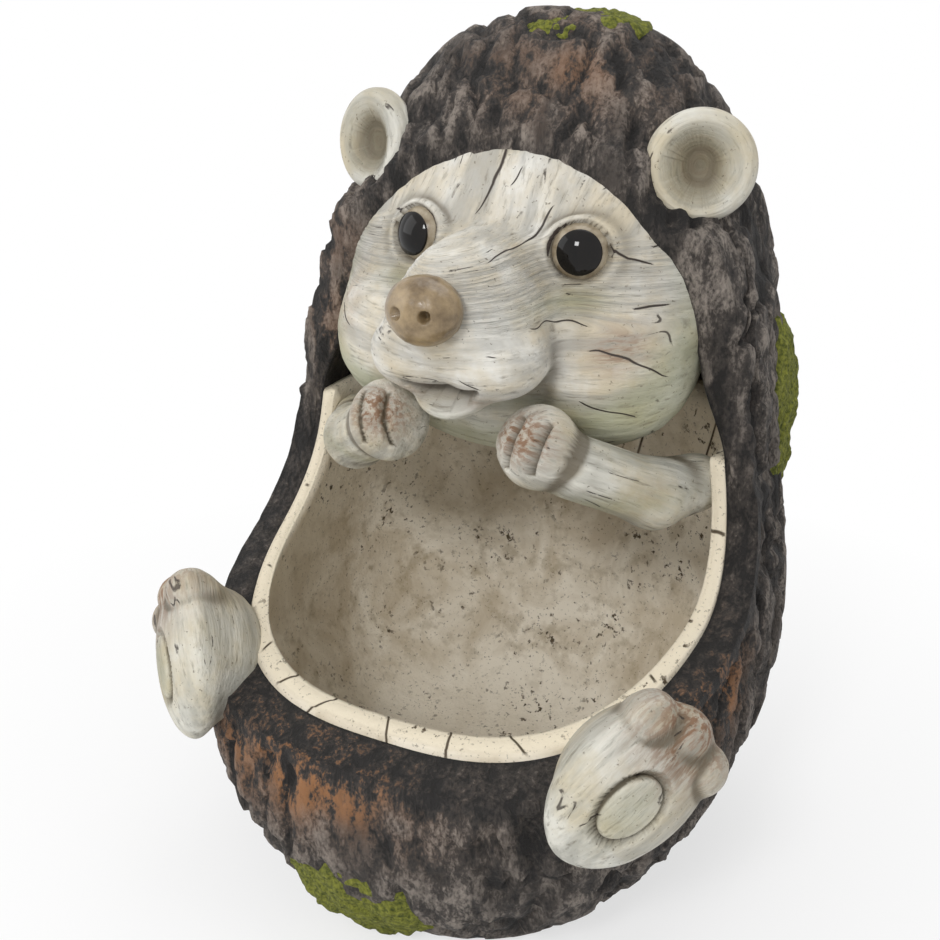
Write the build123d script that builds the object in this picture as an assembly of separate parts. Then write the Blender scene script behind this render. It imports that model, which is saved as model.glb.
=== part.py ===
from build123d import *
import os
from math import copysign, cos, pi, sin, tan, radians

# Hedgehog planter. Millimetres: X is across, -Y is the front, +Z is up.
# Driving sizes of the egg-shaped body, which leans back as it rises.
BODY_HEIGHT = 503.0
BODY_WIDTH = 328.0
BODY_DEPTH = 338.0
LEAN_DEGREES = 11.1
BARK_WALL = 16.0
BOWL_WALL = 12.0
SEAM_GAP = 0.3
CUT_OVERRUN = 40.0

# The body's level sections, from the base up. Heights are shares of the body's height, half widths
# are shares of half its width, and front and back reaches are shares of its depth.
HEIGHT_SHARES = (0.0, 0.10, 0.25, 0.48, 0.70, 0.87, 0.978)
WIDTH_SHARES = (0.61, 0.855, 0.997, 0.912, 0.81, 0.567, 0.195)
FRONT_SHARES = (-0.281, -0.376, -0.358, -0.225, -0.033, 0.190, 0.311)
BACK_SHARES = (0.364, 0.470, 0.565, 0.633, 0.614, 0.538, 0.417)
SQUARENESS_SHARES = (2.4, 2.6, 2.8, 2.7, 2.4, 2.2, 2.0)
MIDDLE_SHARE = 0.065
PLAIN_POINTS = 24

# Bark plates run up the casting as broad lobes. Their relief is a share of the distance from the middle.
BARK_LOBES = 12
LOBE_POINTS = 2
BARK_RELIEF_SHARE = 0.016

# The opening: a rim that rises to the back, then the edge of the cowl round the face, then the hood.
RIM_HEIGHT = 133.0
RIM_REACH = 104.0
RIM_SLOPE_DEGREES = 23.8
RIM_PROUD = 3.0
COWL_SETBACK = 48.0
HOOD_SETBACK = 58.0
HOOD_EDGE_HEIGHT = 424.0
HOOD_SLOPE_DEGREES = 12.0
SHOULDER_RADIUS = 45.0
HOOD_RADIUS = 12.0
CEILING_HEIGHT = 262.0

# Drain hole and its stopper.
DRAIN_RADIUS = 13.0
STOPPER_CLEARANCE = 0.4
STOPPER_TAPER = 1.2
STOPPER_SHORT = 4.0
STOPPER_FLANGE_RADIUS = 20.0
STOPPER_FLANGE = 4.0
STOPPER_EDGE = 1.2
PULL_TAB_WIDTH = 16.0
PULL_TAB_HEIGHT = 12.0
PULL_TAB_THICKNESS = 5.0
PULL_HOLE_RADIUS = 3.0

# Head: rounded masses, each with a centre in shares of the body's half width, depth and height.
CRANIUM_SHARES = (0.0, 0.225, 0.692)
CRANIUM_WIDE, CRANIUM_DEEP, CRANIUM_TALL = 122.0, 56.0, 96.0
HEAD_PITCH_DEGREES = -12.0
MUZZLE_SHARES = (0.0, 0.0, 0.668)
MUZZLE_WIDE, MUZZLE_DEEP, MUZZLE_TALL = 48.0, 52.0, 38.0
BIB_SHARES = (0.0, 0.140, 0.560)
BIB_WIDE, BIB_DEEP, BIB_TALL = 76.0, 34.0, 33.0
CHEEK_SHARES = (0.385, 0.148, 0.615)
CHEEK_RADIUS = 47.0
LIP_SHARES = (0.128, -0.066, 0.628)
LIP_RADIUS = 22.0
CHIN_SHARES = (0.0, -0.044, 0.590)
CHIN_RADIUS = 19.0
MOUTH_SHARES = (0.0, -0.118, 0.602)
MOUTH_WIDE, MOUTH_DEEP, MOUTH_TALL = 22.0, 16.0, 4.5

# Nose, with two nostrils.
NOSE_SHARES = (0.0, -0.148, 0.706)
NOSE_WIDE, NOSE_DEEP, NOSE_TALL = 21.0, 17.0, 18.5
NOSTRIL_RADIUS = 3.0
NOSTRIL_SPREAD_SHARE = 0.40
NOSTRIL_DEPTH_SHARE = 0.70

# Eyes: a ball in a socket, with a dark domed cap.
EYE_SHARES = (0.284, 0.121, 0.740)
EYE_RADIUS = 18.0
EYE_TURN_DEGREES = 18.0
EYE_RAISE_DEGREES = 8.0
IRIS_RADIUS = 12.5
IRIS_PROUD = 1.0

# Ears: a thick round dish beside the hood.
EAR_SHARES = (0.610, 0.213, 0.829)
EAR_RADIUS = 30.0
EAR_THICKNESS = 17.0
EAR_ROUNDING = 7.5
EAR_DISH_RADIUS = 21.0
EAR_DISH_DEPTH = 9.0
EAR_TURN_DEGREES = 20.0
EAR_RAISE_DEGREES = 8.0
EAR_STEM_RADIUS = 17.0
EAR_STEM_LENGTH = 26.0

# Arms: a log from the cowl's edge to a paw under the chin.
SHOULDER_SHARES = (0.700, 0.165, 0.476)
ELBOW_SHARES = (0.640, 0.090, 0.474)
WRIST_SHARES = (0.385, 0.000, 0.525)
PAW_SHARES = (0.285, -0.028, 0.548)
SHOULDER_ROUND = 19.0
ELBOW_RADIUS = 23.0
WRIST_RADIUS = 18.0
PAW_RADIUS = 23.5
FINGER_GROOVE = 2.2
FINGER_SPREAD_SHARE = 0.36

# Feet: a paddle with three toes and an oval pad, lying against the bark.
FOOT_SHARES = (0.835, -0.270, 0.280)
FOOT_LONG, FOOT_WIDE, FOOT_THICK = 50.0, 36.0, 19.0
FOOT_TURN_DEGREES = 40.0
FOOT_RAISE_DEGREES = 10.0
FOOT_LEAN_DEGREES = 50.0
TOE_COUNT = 3
TOE_RADIUS = 14.5
TOE_REACH_SHARE = 0.74
TOE_SPREAD_SHARE = 0.58
PAD_LONG, PAD_WIDE = 24.0, 16.0
PAD_GROOVE = 3.0
PAD_BACK_SHARE = 0.10
PAD_DEPTH = 4.0
ANKLE_RADIUS = 24.0
ANKLE_LENGTH = 30.0

# Moss: low mounds on the bark, each turned to lie along it.
CROWN_MOSS_SHARES = (0.05, 0.38, 0.960)
CROWN_MOSS_RADII = (48.0, 38.0, 14.0)
CROWN_MOSS_TURN = (4, 6, 0)
SIDE_MOSS_SHARES = (0.80, 0.36, 0.56)
SIDE_MOSS_RADII = (20.0, 34.0, 70.0)
SIDE_MOSS_TURN = (0, -7, 0)
FRONT_MOSS_SHARES = (-0.30, -0.315, 0.105)
FRONT_MOSS_RADII = (64.0, 22.0, 50.0)
FRONT_MOSS_TURN = (12, 0, -12)

# How a turned solid sits on its plane: standing up from it or hanging down from it.
STANDING = (Align.CENTER, Align.CENTER, Align.MIN)
HANGING = (Align.CENTER, Align.CENTER, Align.MAX)


def place(shares):
    """A point from shares of the body's half width, depth and height."""
    x, y, z = shares
    return Vector(x * BODY_WIDTH / 2, y * BODY_DEPTH, z * BODY_HEIGHT)


def lump(centre, radii, turn=(0, 0, 0)):
    """A rounded lump: a unit ball stretched to three radii, turned and put in place."""
    ball = scale(Sphere(1), by=radii)
    return Pos(*centre) * Rot(*turn) * ball


def mirrored(piece):
    """The same piece on the other side of the body."""
    return mirror(piece, about=Plane.YZ)


def both(piece):
    """A feature and its mirror image, joined."""
    return piece + mirrored(piece)


def slope(row, values):
    """How fast a table of the body changes with height at one of its rows."""
    low = max(row - 1, 0)
    high = min(row + 1, len(values) - 1)
    return (values[high] - values[low]) / (HEIGHT_SHARES[high] - HEIGHT_SHARES[low])


def at(share, values):
    """The value of a table of the body at a share of its height, on a smooth curve through its rows."""
    above = next(i for i in range(1, len(HEIGHT_SHARES)) if share <= HEIGHT_SHARES[i])
    below = above - 1
    span = HEIGHT_SHARES[above] - HEIGHT_SHARES[below]
    part = (share - HEIGHT_SHARES[below]) / span
    rest = 1 - part
    rows = values[below] * rest**2 * (1 + 2 * part) + values[above] * part**2 * (1 + 2 * rest)
    slopes = slope(below, values) * part * rest**2 - slope(above, values) * part**2 * rest
    return rows + span * slopes


def level_shares():
    """The heights of the body's outlines: each row of its tables and the level halfway to the next."""
    halfway = [(low + high) / 2 for low, high in zip(HEIGHT_SHARES, HEIGHT_SHARES[1:])]
    return sorted([*HEIGHT_SHARES, *halfway])


def section(share, inset, relief_share):
    """One level outline of the body: a superellipse with its own front and back depth.

    One half runs from the middle of the back to the middle of the front, and the other mirrors it.
    """
    level = share * (BODY_HEIGHT - inset)
    middle = MIDDLE_SHARE * BODY_DEPTH + share * BODY_HEIGHT * tan(radians(LEAN_DEGREES))
    half_width = at(share, WIDTH_SHARES) * BODY_WIDTH / 2 - inset
    front = middle - at(share, FRONT_SHARES) * BODY_DEPTH - inset
    back = at(share, BACK_SHARES) * BODY_DEPTH - middle - inset
    power = 2 / at(share, SQUARENESS_SHARES)
    steps = (BARK_LOBES * LOBE_POINTS if relief_share else PLAIN_POINTS) // 2
    points = []
    for step in range(steps + 1):
        angle = pi / 2 - pi * step / steps
        relief = 1 + relief_share * cos(BARK_LOBES * angle)
        across = copysign(abs(cos(angle)) ** power, cos(angle)) * relief
        along = copysign(abs(sin(angle)) ** power, sin(angle)) * relief
        depth = back if along > 0 else front
        points.append((half_width * across, middle + depth * along, level))
    half = Spline(*points, tangents=((1, 0, 0), (-1, 0, 0)))
    return Wire(half.edges() + mirrored(half).edges())


def body(inset=0.0, relief_share=0.0, floor=0.0):
    """The egg-shaped body as a solid, drawn in by an inset and standing on a floor."""
    first = floor / (BODY_HEIGHT - inset)
    shares = [first] + [share for share in level_shares() if share > first]
    return Solid.make_loft([section(share, inset, relief_share) for share in shares], ruled=True)


def near(solid, shares, reach):
    """The part of a solid within reach of a place, which a small piece is then cut by."""
    around = Vector(reach, reach, reach)
    return solid & block(place(shares) - around, place(shares) + around)


def block(low, high):
    """A box between two corners."""
    size = Vector(*high) - Vector(*low)
    middle = (Vector(*high) + Vector(*low)) / 2
    return Pos(*middle) * Box(*size)


def opening(lowered):
    """What the opening takes away: above the rim, before the cowl and under the hood."""
    front = -BODY_DEPTH
    slope = tan(radians(RIM_SLOPE_DEGREES))
    rim_front = RIM_HEIGHT - lowered + (front + RIM_REACH) * slope
    rim_back = RIM_HEIGHT - lowered + (COWL_SETBACK + RIM_REACH) * slope
    hood_front = HOOD_EDGE_HEIGHT + (HOOD_SETBACK - front) * tan(radians(HOOD_SLOPE_DEGREES))
    profile = Polygon(
        (front, rim_front),
        (COWL_SETBACK, rim_back),
        (HOOD_SETBACK, HOOD_EDGE_HEIGHT),
        (front, hood_front),
        align=None,
    )
    corners = profile.vertices().sort_by(Axis.X)[-2:]
    shoulder, hood = corners.sort_by(Axis.Y)
    profile = fillet(shoulder, SHOULDER_RADIUS)
    hood = profile.vertices().sort_by_distance(Vertex(HOOD_SETBACK, HOOD_EDGE_HEIGHT))[0]
    profile = fillet(hood, HOOD_RADIUS)
    return extrude(Plane.YZ * profile, BODY_WIDTH, both=True)


def floor_level():
    """The height of the bowl's floor."""
    return BARK_WALL + BOWL_WALL


def floor_centre():
    """The middle of the base, under the drain hole."""
    return Vector(0, MIDDLE_SHARE * BODY_DEPTH, 0)


def drain():
    """The round drain hole, cut down through both floors."""
    return Pos(*floor_centre()) * Cylinder(DRAIN_RADIUS, 2 * (floor_level() + CUT_OVERRUN))


def bark_shell(outer, void):
    """The bark casting: a hooded egg with a flat base, a drain hole and the opening cut away."""
    return outer - void - opening(RIM_PROUD) - drain()


def belly_bowl():
    """The cream bowl: it stands in the bark casting and its rim shows round the opening."""
    outside = body(BARK_WALL + SEAM_GAP, 0, BARK_WALL)
    inside = body(BARK_WALL + SEAM_GAP + BOWL_WALL, 0, floor_level())
    above = block((-BODY_WIDTH, -BODY_DEPTH, CEILING_HEIGHT), (BODY_WIDTH, BODY_DEPTH, BODY_HEIGHT))
    return outside - inside - above - opening(0) - drain()


def drain_plug():
    """The stopper: a tapered stem, a flange on the floor and a pull tab with a hole."""
    top_radius = DRAIN_RADIUS - STOPPER_CLEARANCE
    stem_length = floor_level() - STOPPER_SHORT
    stem = Cone(top_radius - STOPPER_TAPER, top_radius, stem_length, align=HANGING)
    flange = Cylinder(STOPPER_FLANGE_RADIUS, STOPPER_FLANGE, align=STANDING)
    flange = chamfer(flange.edges().group_by(Axis.Z)[-1], STOPPER_EDGE)
    tab = Rectangle(PULL_TAB_WIDTH, PULL_TAB_HEIGHT, align=(Align.CENTER, Align.MIN))
    tab = fillet(tab.vertices().group_by(Axis.Y)[-1], PULL_TAB_HEIGHT / 2)
    tab -= Pos(0, PULL_TAB_HEIGHT / 2) * Circle(PULL_HOLE_RADIUS)
    tab = extrude(Plane.XZ * tab, PULL_TAB_THICKNESS / 2, both=True)
    plug = stem + flange + Pos(0, 0, STOPPER_FLANGE) * tab
    return Pos(*floor_centre()) * Pos(0, 0, floor_level()) * plug


def facing(centre, turn, raise_):
    """A frame at a centre whose Z axis looks forward, turned outward and raised."""
    forward = Vector(sin(turn) * cos(raise_), -cos(turn) * cos(raise_), sin(raise_))
    outward = Vector(cos(turn), sin(turn), 0)
    return Plane(origin=centre, x_dir=outward, z_dir=forward)


def eye_frame():
    """The frame of the eye on the +X side."""
    return facing(place(EYE_SHARES), radians(EYE_TURN_DEGREES), radians(EYE_RAISE_DEGREES))


def eye_pieces():
    """The eyeball, a dome with a flat back, and the dark cap on its front."""
    frame = eye_frame()
    front = Cylinder(EYE_RADIUS, EYE_RADIUS, align=STANDING)
    ball = Sphere(EYE_RADIUS) & front
    cap_bore = Cylinder(IRIS_RADIUS, EYE_RADIUS * 2, align=STANDING)
    cap = (Sphere(EYE_RADIUS + IRIS_PROUD) - Sphere(EYE_RADIUS)) & cap_bore
    return frame * ball, frame * cap


def nose():
    """The nose, with two nostrils."""
    centre = place(NOSE_SHARES)
    button = lump(centre, (NOSE_WIDE, NOSE_DEEP, NOSE_TALL))
    bore = Rot(90, 0, 0) * Cylinder(NOSTRIL_RADIUS, NOSE_DEEP, align=STANDING)
    nostril = Pos(NOSTRIL_SPREAD_SHARE * NOSE_WIDE, -NOSTRIL_DEPTH_SHARE * NOSE_DEEP, 0) * bore
    return button - Pos(*centre) * both(nostril)


def head(room):
    """The head casting: cranium, muzzle, bib, cheeks, lips and chin, seated inside the cowl."""
    cranium_radii = (CRANIUM_WIDE, CRANIUM_DEEP, CRANIUM_TALL)
    casting = lump(place(CRANIUM_SHARES), cranium_radii, (HEAD_PITCH_DEGREES, 0, 0)) & room
    casting += lump(place(MUZZLE_SHARES), (MUZZLE_WIDE, MUZZLE_DEEP, MUZZLE_TALL))
    casting += both(Pos(*place(CHEEK_SHARES)) * Sphere(CHEEK_RADIUS))
    casting += both(Pos(*place(LIP_SHARES)) * Sphere(LIP_RADIUS))
    casting += Pos(*place(CHIN_SHARES)) * Sphere(CHIN_RADIUS)
    casting += lump(place(BIB_SHARES), (BIB_WIDE, BIB_DEEP, BIB_TALL))
    return casting - lump(place(MOUTH_SHARES), (MOUTH_WIDE, MOUTH_DEEP, MOUTH_TALL))


def ear():
    """The ear on the +X side: a thick rounded disc with a dished front, on a stem."""
    frame = facing(place(EAR_SHARES), radians(EAR_TURN_DEGREES), radians(EAR_RAISE_DEGREES))
    disc = Cylinder(EAR_RADIUS, EAR_THICKNESS)
    disc = fillet(disc.edges().filter_by(GeomType.CIRCLE), EAR_ROUNDING)
    ball_radius = (EAR_DISH_RADIUS**2 + EAR_DISH_DEPTH**2) / (2 * EAR_DISH_DEPTH)
    dish = Pos(0, 0, EAR_THICKNESS / 2 - EAR_DISH_DEPTH + ball_radius) * Sphere(ball_radius)
    stem = Cylinder(EAR_STEM_RADIUS, EAR_STEM_LENGTH, align=HANGING)
    return frame * (disc + stem - dish)


def limb(start, start_radius, end, end_radius):
    """A tapered log between two points, with a ball at its start."""
    along = end - start
    cone = Cone(start_radius, end_radius, along.length, align=STANDING)
    return Plane(origin=start, z_dir=along) * cone + Pos(*start) * Sphere(start_radius)


def arm():
    """The arm on the +X side: shoulder, forearm log and a paw with grooves between its fingers."""
    paw = place(PAW_SHARES)
    log = limb(place(ELBOW_SHARES), ELBOW_RADIUS, place(WRIST_SHARES), WRIST_RADIUS)
    log += limb(place(SHOULDER_SHARES), SHOULDER_ROUND, place(ELBOW_SHARES), ELBOW_RADIUS)
    log += Pos(*paw) * Sphere(PAW_RADIUS)
    aside = FINGER_SPREAD_SHARE * PAW_RADIUS
    depth = (PAW_RADIUS**2 - aside**2) ** 0.5 - FINGER_GROOVE
    groove = Cylinder(PAW_RADIUS, FINGER_GROOVE) - Cylinder(depth, FINGER_GROOVE)
    front = Pos(0, -PAW_RADIUS, 0) * Box(2 * PAW_RADIUS, 2 * PAW_RADIUS, 2 * PAW_RADIUS)
    for side in (-aside, aside):
        log -= Pos(*paw) * Pos(side, 0, 0) * (Rot(0, 90, 0) * groove & front)
    return log


def foot():
    """The foot on the +X side: a paddle with toes, a groove round its pad, and an ankle."""
    frame = facing(place(FOOT_SHARES), radians(FOOT_TURN_DEGREES), radians(FOOT_RAISE_DEGREES))
    sole = scale(Sphere(1), by=(FOOT_LONG, FOOT_WIDE, FOOT_THICK))
    for toe in range(TOE_COUNT):
        offset = 2 * toe / (TOE_COUNT - 1) - 1
        reach = TOE_REACH_SHARE * FOOT_LONG * cos(offset * TOE_SPREAD_SHARE)
        sole += Pos(reach, offset * TOE_SPREAD_SHARE * FOOT_WIDE, 0) * Sphere(TOE_RADIUS)
    ring = Ellipse(PAD_LONG + PAD_GROOVE, PAD_WIDE + PAD_GROOVE) - Ellipse(PAD_LONG, PAD_WIDE)
    sole -= Pos(-PAD_BACK_SHARE * FOOT_LONG, 0, FOOT_THICK - PAD_DEPTH) * extrude(ring, CUT_OVERRUN)
    ankle = Cylinder(ANKLE_RADIUS, ANKLE_LENGTH, align=HANGING)
    toes_up = Rot(0, 0, 90 - FOOT_LEAN_DEGREES)
    return frame * (toes_up * sole + ankle)


def moss(outer, shares, radii, turn):
    """A mound of moss that lies on the bark."""
    return lump(place(shares), radii, turn) - near(outer, shares, max(radii))


def largest(piece):
    """A piece without the crumbs that a cut leaves."""
    return piece.solids().sort_by(SortBy.VOLUME)[-1]


def build():
    """Every piece by name, in its place on the body."""
    outer = body(0, BARK_RELIEF_SHARE)
    room = body(BARK_WALL + SEAM_GAP, 0, BARK_WALL) + opening(RIM_PROUD)
    bowl = belly_bowl()
    eyeball, iris = eye_pieces()
    snout = nose()
    face = largest(head(room) - both(eyeball) - both(iris) - snout)
    pieces = {
        "bark_shell": bark_shell(outer, body(BARK_WALL, 0, BARK_WALL)),
        "belly_bowl": bowl,
        "drain_plug": drain_plug(),
        "head": face,
        "nose": snout,
    }
    side_pieces = {
        "ear": ear() - near(outer, EAR_SHARES, EAR_RADIUS + EAR_STEM_LENGTH),
        "eyeball": eyeball,
        "pupil": iris,
        "arm": (arm() & room) - bowl - face,
        "foot": foot() - near(outer, FOOT_SHARES, FOOT_LONG + 2 * TOE_RADIUS),
    }
    for name, piece in side_pieces.items():
        pieces[f"left_{name}"] = largest(piece)
        pieces[f"right_{name}"] = mirrored(largest(piece))
    patches = {
        "crown_moss": (CROWN_MOSS_SHARES, CROWN_MOSS_RADII, CROWN_MOSS_TURN),
        "side_moss": (SIDE_MOSS_SHARES, SIDE_MOSS_RADII, SIDE_MOSS_TURN),
        "front_moss": (FRONT_MOSS_SHARES, FRONT_MOSS_RADII, FRONT_MOSS_TURN),
    }
    for name, (shares, radii, turn) in patches.items():
        pieces[name] = largest(moss(outer, shares, radii, turn))
    return pieces


def main():
    """Build the planter, centre its base on the origin and write one file a piece."""
    os.makedirs("parts", exist_ok=True)
    pieces = build()
    box = Compound(children=[Compound(list(piece.solids())) for piece in pieces.values()]).bounding_box()
    centred = Pos(-box.center().X, -box.center().Y, -box.min.Z)
    for name, piece in pieces.items():
        export_step(centred * piece, f"parts/{name}.step")


main()
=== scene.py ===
import logging
import math
from dataclasses import dataclass
from enum import Enum
from typing import Callable

import bpy
import numpy as np
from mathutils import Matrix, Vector


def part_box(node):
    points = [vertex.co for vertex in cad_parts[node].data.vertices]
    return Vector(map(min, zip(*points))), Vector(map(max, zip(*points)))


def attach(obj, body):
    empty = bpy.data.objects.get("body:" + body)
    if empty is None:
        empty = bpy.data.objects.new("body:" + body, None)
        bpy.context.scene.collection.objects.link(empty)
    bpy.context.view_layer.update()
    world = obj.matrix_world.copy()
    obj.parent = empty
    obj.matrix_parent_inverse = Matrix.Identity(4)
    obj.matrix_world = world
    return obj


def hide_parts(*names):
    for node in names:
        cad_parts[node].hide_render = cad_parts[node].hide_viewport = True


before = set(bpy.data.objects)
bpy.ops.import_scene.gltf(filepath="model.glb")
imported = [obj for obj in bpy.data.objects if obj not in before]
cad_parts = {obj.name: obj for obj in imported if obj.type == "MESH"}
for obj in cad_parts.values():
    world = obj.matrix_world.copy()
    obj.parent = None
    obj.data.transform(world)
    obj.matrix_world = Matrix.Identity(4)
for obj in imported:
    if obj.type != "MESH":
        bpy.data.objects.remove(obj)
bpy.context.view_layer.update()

# The hedgehog planter's looks. Shapes are worked out in millimetres in the drawing frame, whose Y = 0
# lies 22 mm in front of the egg's middle line at the base, and are put into the frame of the solids, in
# metres, at the end. Left is the hedgehog's own left, on +X.
LOG = logging.getLogger("planter")
Array = np.ndarray
Form = Callable[[Array], Array]
Socket = bpy.types.NodeSocket
MM = 0.001
EGG_DEPTH = 338.0
NOSE_DRAWN_Y = -0.148 * EGG_DEPTH
ACROSS = np.array([1.0, 0.0, 0.0])
RAY_HALVINGS = 13
EDGE_HALVINGS = 17
GRAIN_SHARE = 0.13
NOISE_ROUGHNESS = 0.62
EVEN = (1.0, 1.0, 1.0)
WHITE = (1.0, 1.0, 1.0, 1.0)
EYE_CENTRE = (46.6, 40.9, 372.2)
EYE_TURN = 18.0
EYE_RAISE = 8.0


def drawing_shift() -> float:
    """How far back, in metres, the drawing frame lies from the solids' frame."""
    low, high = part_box("nose")
    return NOSE_DRAWN_Y * MM - (low[1] + high[1]) / 2


SHIFT = drawing_shift()


class Body(Enum):
    """The body that the new pieces ride on."""

    PLANTER = "planter"


class Slot(Enum):
    """The record's material slots."""

    BARK = "bark"
    CARVED = "carved_cream"
    BOWL = "bowl_cream"
    NOSE = "nose_brown"
    EYE = "eye_cream"
    PUPIL = "eye_black"
    MOSS = "moss_green"


# ---- Noise and distance functions on whole arrays ----


def lattice(cell: Array, seed: int) -> Array:
    """A fixed scatter value from -1 to 1 for each whole-number cell, by mixing its three numbers.

    Args:
        cell: whole-number cells, (..., 3).
        seed: which scatter.

    Returns:
        One value a cell.
    """
    mixed = cell[..., 0] * 374761393 + cell[..., 1] * 668265263 + cell[..., 2] * 1440662683 + seed * 974634777
    mixed = mixed & 0xFFFFFFFF
    mixed = ((mixed ^ (mixed >> 13)) * 1274126177) & 0xFFFFFFFF
    return ((mixed ^ (mixed >> 16)) & 0xFFFF) / 32767.5 - 1.0


def noise(points: Array, size: float, seed: int) -> Array:
    """Smooth noise from -1 to 1: the scatter at a cell's eight corners, blended by 3t^2 - 2t^3 each way.

    Args:
        points: places in mm, (..., 3).
        size: cell size in mm.
        seed: which noise.

    Returns:
        One value a place.
    """
    scaled = points / size
    cell = np.floor(scaled).astype(np.int64)
    part = scaled - cell
    part = part * part * (3.0 - 2.0 * part)
    total = np.zeros(points.shape[:-1])
    for corner in range(8):
        offset = np.array([corner & 1, (corner >> 1) & 1, corner >> 2])
        weight = np.prod(np.where(offset == 1, part, 1.0 - part), axis=-1)
        total += weight * lattice(cell + offset, seed)
    return total


def layered(points: Array, size: float, seed: int, layers: int = 4) -> Array:
    """Noise in layers, each half the size and half the strength of the one before.

    Args:
        points: places in mm.
        size: cell size of the coarsest layer in mm.
        seed: which noise.
        layers: how many layers.

    Returns:
        One value a place, about -1 to 1.
    """
    total, strength = np.zeros(points.shape[:-1]), 1.0
    for layer in range(layers):
        total += strength * noise(points, size / 2**layer, seed + layer)
        strength *= 0.5
    return total / (2.0 - 2.0 * strength)


def smooth_min(one: Array, two: Array, width: float) -> Array:
    """The lesser of two distances, with the corner between them rounded over a width."""
    share = np.clip(0.5 + 0.5 * (two - one) / width, 0.0, 1.0)
    return two * (1.0 - share) + one * share - width * share * (1.0 - share)


def smooth_max(one: Array, two: Array, width: float) -> Array:
    """The greater of two distances, with the corner rounded over a width."""
    return -smooth_min(-one, -two, width)


def ball(points: Array, centre: tuple, radii: tuple, pitch: float = 0.0) -> Array:
    """Near-distance to an ellipsoid.

    It is k(k - 1) / m, with k the length of the place over the radii and m that of it over their squares.

    Args:
        points: places in mm.
        centre: the middle in mm.
        radii: the three radii in mm.
        pitch: turn about X in degrees.

    Returns:
        Distance in mm, negative inside.
    """
    local = points - np.array(centre)
    turn = math.radians(pitch)
    y = local[..., 1] * math.cos(turn) + local[..., 2] * math.sin(turn)
    z = -local[..., 1] * math.sin(turn) + local[..., 2] * math.cos(turn)
    local = np.stack([local[..., 0], y, z], axis=-1)
    first = np.linalg.norm(local / np.array(radii), axis=-1)
    second = np.linalg.norm(local / np.array(radii) ** 2, axis=-1)
    return first * (first - 1.0) / np.maximum(second, 1e-9)


def rod(points: Array, start: Array, end: Array, start_radius: float, end_radius: float) -> Array:
    """Distance to a tapered rod: from the nearest point of its axis, less the radius blended along it.

    Args:
        points: places in mm.
        start: one end of the axis.
        end: the other end.
        start_radius: radius at the start.
        end_radius: radius at the end.

    Returns:
        Distance in mm, negative inside.
    """
    along = end - start
    share = np.clip(((points - start) @ along) / (along @ along), 0.0, 1.0)
    nearest = start + share[..., None] * along
    return np.linalg.norm(points - nearest, axis=-1) - (start_radius + share * (end_radius - start_radius))


def bell(points: Array, centre: tuple, widths: tuple) -> Array:
    """A soft spot: e to the power of minus the squared distance over the widths."""
    return np.exp(-np.sum(((points - np.array(centre)) / np.array(widths)) ** 2, axis=-1))


def spots(points: Array, table: tuple) -> Array:
    """The sum of soft spots, each a strength, a middle and its widths."""
    return sum(strength * bell(points, centre, widths) for strength, centre, widths in table)


def with_balls(points: Array, form: Array, balls: tuple) -> Array:
    """A distance joined with ellipsoids, one after the other.

    Args:
        points: places in mm.
        form: the distance so far.
        balls: for each its middle, its radii and the rounding where it joins.

    Returns:
        Distance in mm, negative inside.
    """
    for centre, radii, width in balls:
        form = smooth_min(form, ball(points, centre, radii), width)
    return form


def ease(values: Array) -> Array:
    """Values held to 0..1 and eased by 3t^2 - 2t^3."""
    held = np.clip(values, 0.0, 1.0)
    return held * held * (3.0 - 2.0 * held)


def drawn_out(points: Array, axis: Array) -> Array:
    """Places in metres squeezed to a share along an axis, so that a pattern on them is drawn out that way."""
    unit = axis / np.linalg.norm(axis)
    return (points - (points @ unit)[..., None] * unit * (1.0 - GRAIN_SHARE)) * MM


def two_sided(points: Array) -> Array:
    """The places with X made positive, so that a form is worked out once for both sides."""
    return np.concatenate([np.abs(points[..., :1]), points[..., 1:]], axis=-1)


def frame_axes(turn: float, raised: float) -> Array:
    """Rows outward, up and forward of a place on the +X side.

    Args:
        turn: degrees outward from the front.
        raised: degrees up.

    Returns:
        A 3 x 3 array.
    """
    turn, raised = math.radians(turn), math.radians(raised)
    level = math.cos(raised)
    forward = np.array([math.sin(turn) * level, -math.cos(turn) * level, math.sin(raised)])
    outward = np.array([math.cos(turn), math.sin(turn), 0.0])
    return np.array([outward, np.cross(forward, outward), forward])


# ---- Grids and meshes ----


def circle(axis: tuple, segments: int) -> tuple[Array, Array]:
    """A pole, and directions square to it that go round it: cosine across, sine along their cross product.

    Args:
        axis: where the pole points.
        segments: how many directions.

    Returns:
        The unit pole, and unit directions (segments, 3).
    """
    pole = np.array(axis, float) / np.linalg.norm(axis)
    rise = np.cross(pole, ACROSS)
    angles = 2.0 * math.pi * np.arange(segments) / segments
    return pole, np.cos(angles)[:, None] * ACROSS + np.sin(angles)[:, None] * rise


def tilted(pole: Array, ring: Array, tilt: Array) -> Array:
    """Directions at angles from a pole: the cosine along the pole and the sine along the ring."""
    return np.cos(tilt)[..., None] * pole + np.sin(tilt)[..., None] * ring


def directions(axis: tuple, rings: int, segments: int, crowd: float = 1.0) -> Array:
    """Directions on a grid: each ring has one angle from the axis, pi times its share to a power.

    Args:
        axis: where the first pole points.
        rings: how many rings between the poles.
        segments: how many directions a ring.
        crowd: over 1 crowds the rings at the first pole.

    Returns:
        Unit directions, (rings, segments, 3).
    """
    share = np.arange(1, rings + 1) / (rings + 1)
    return tilted(*circle(axis, segments), (math.pi * share**crowd)[:, None])


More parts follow.
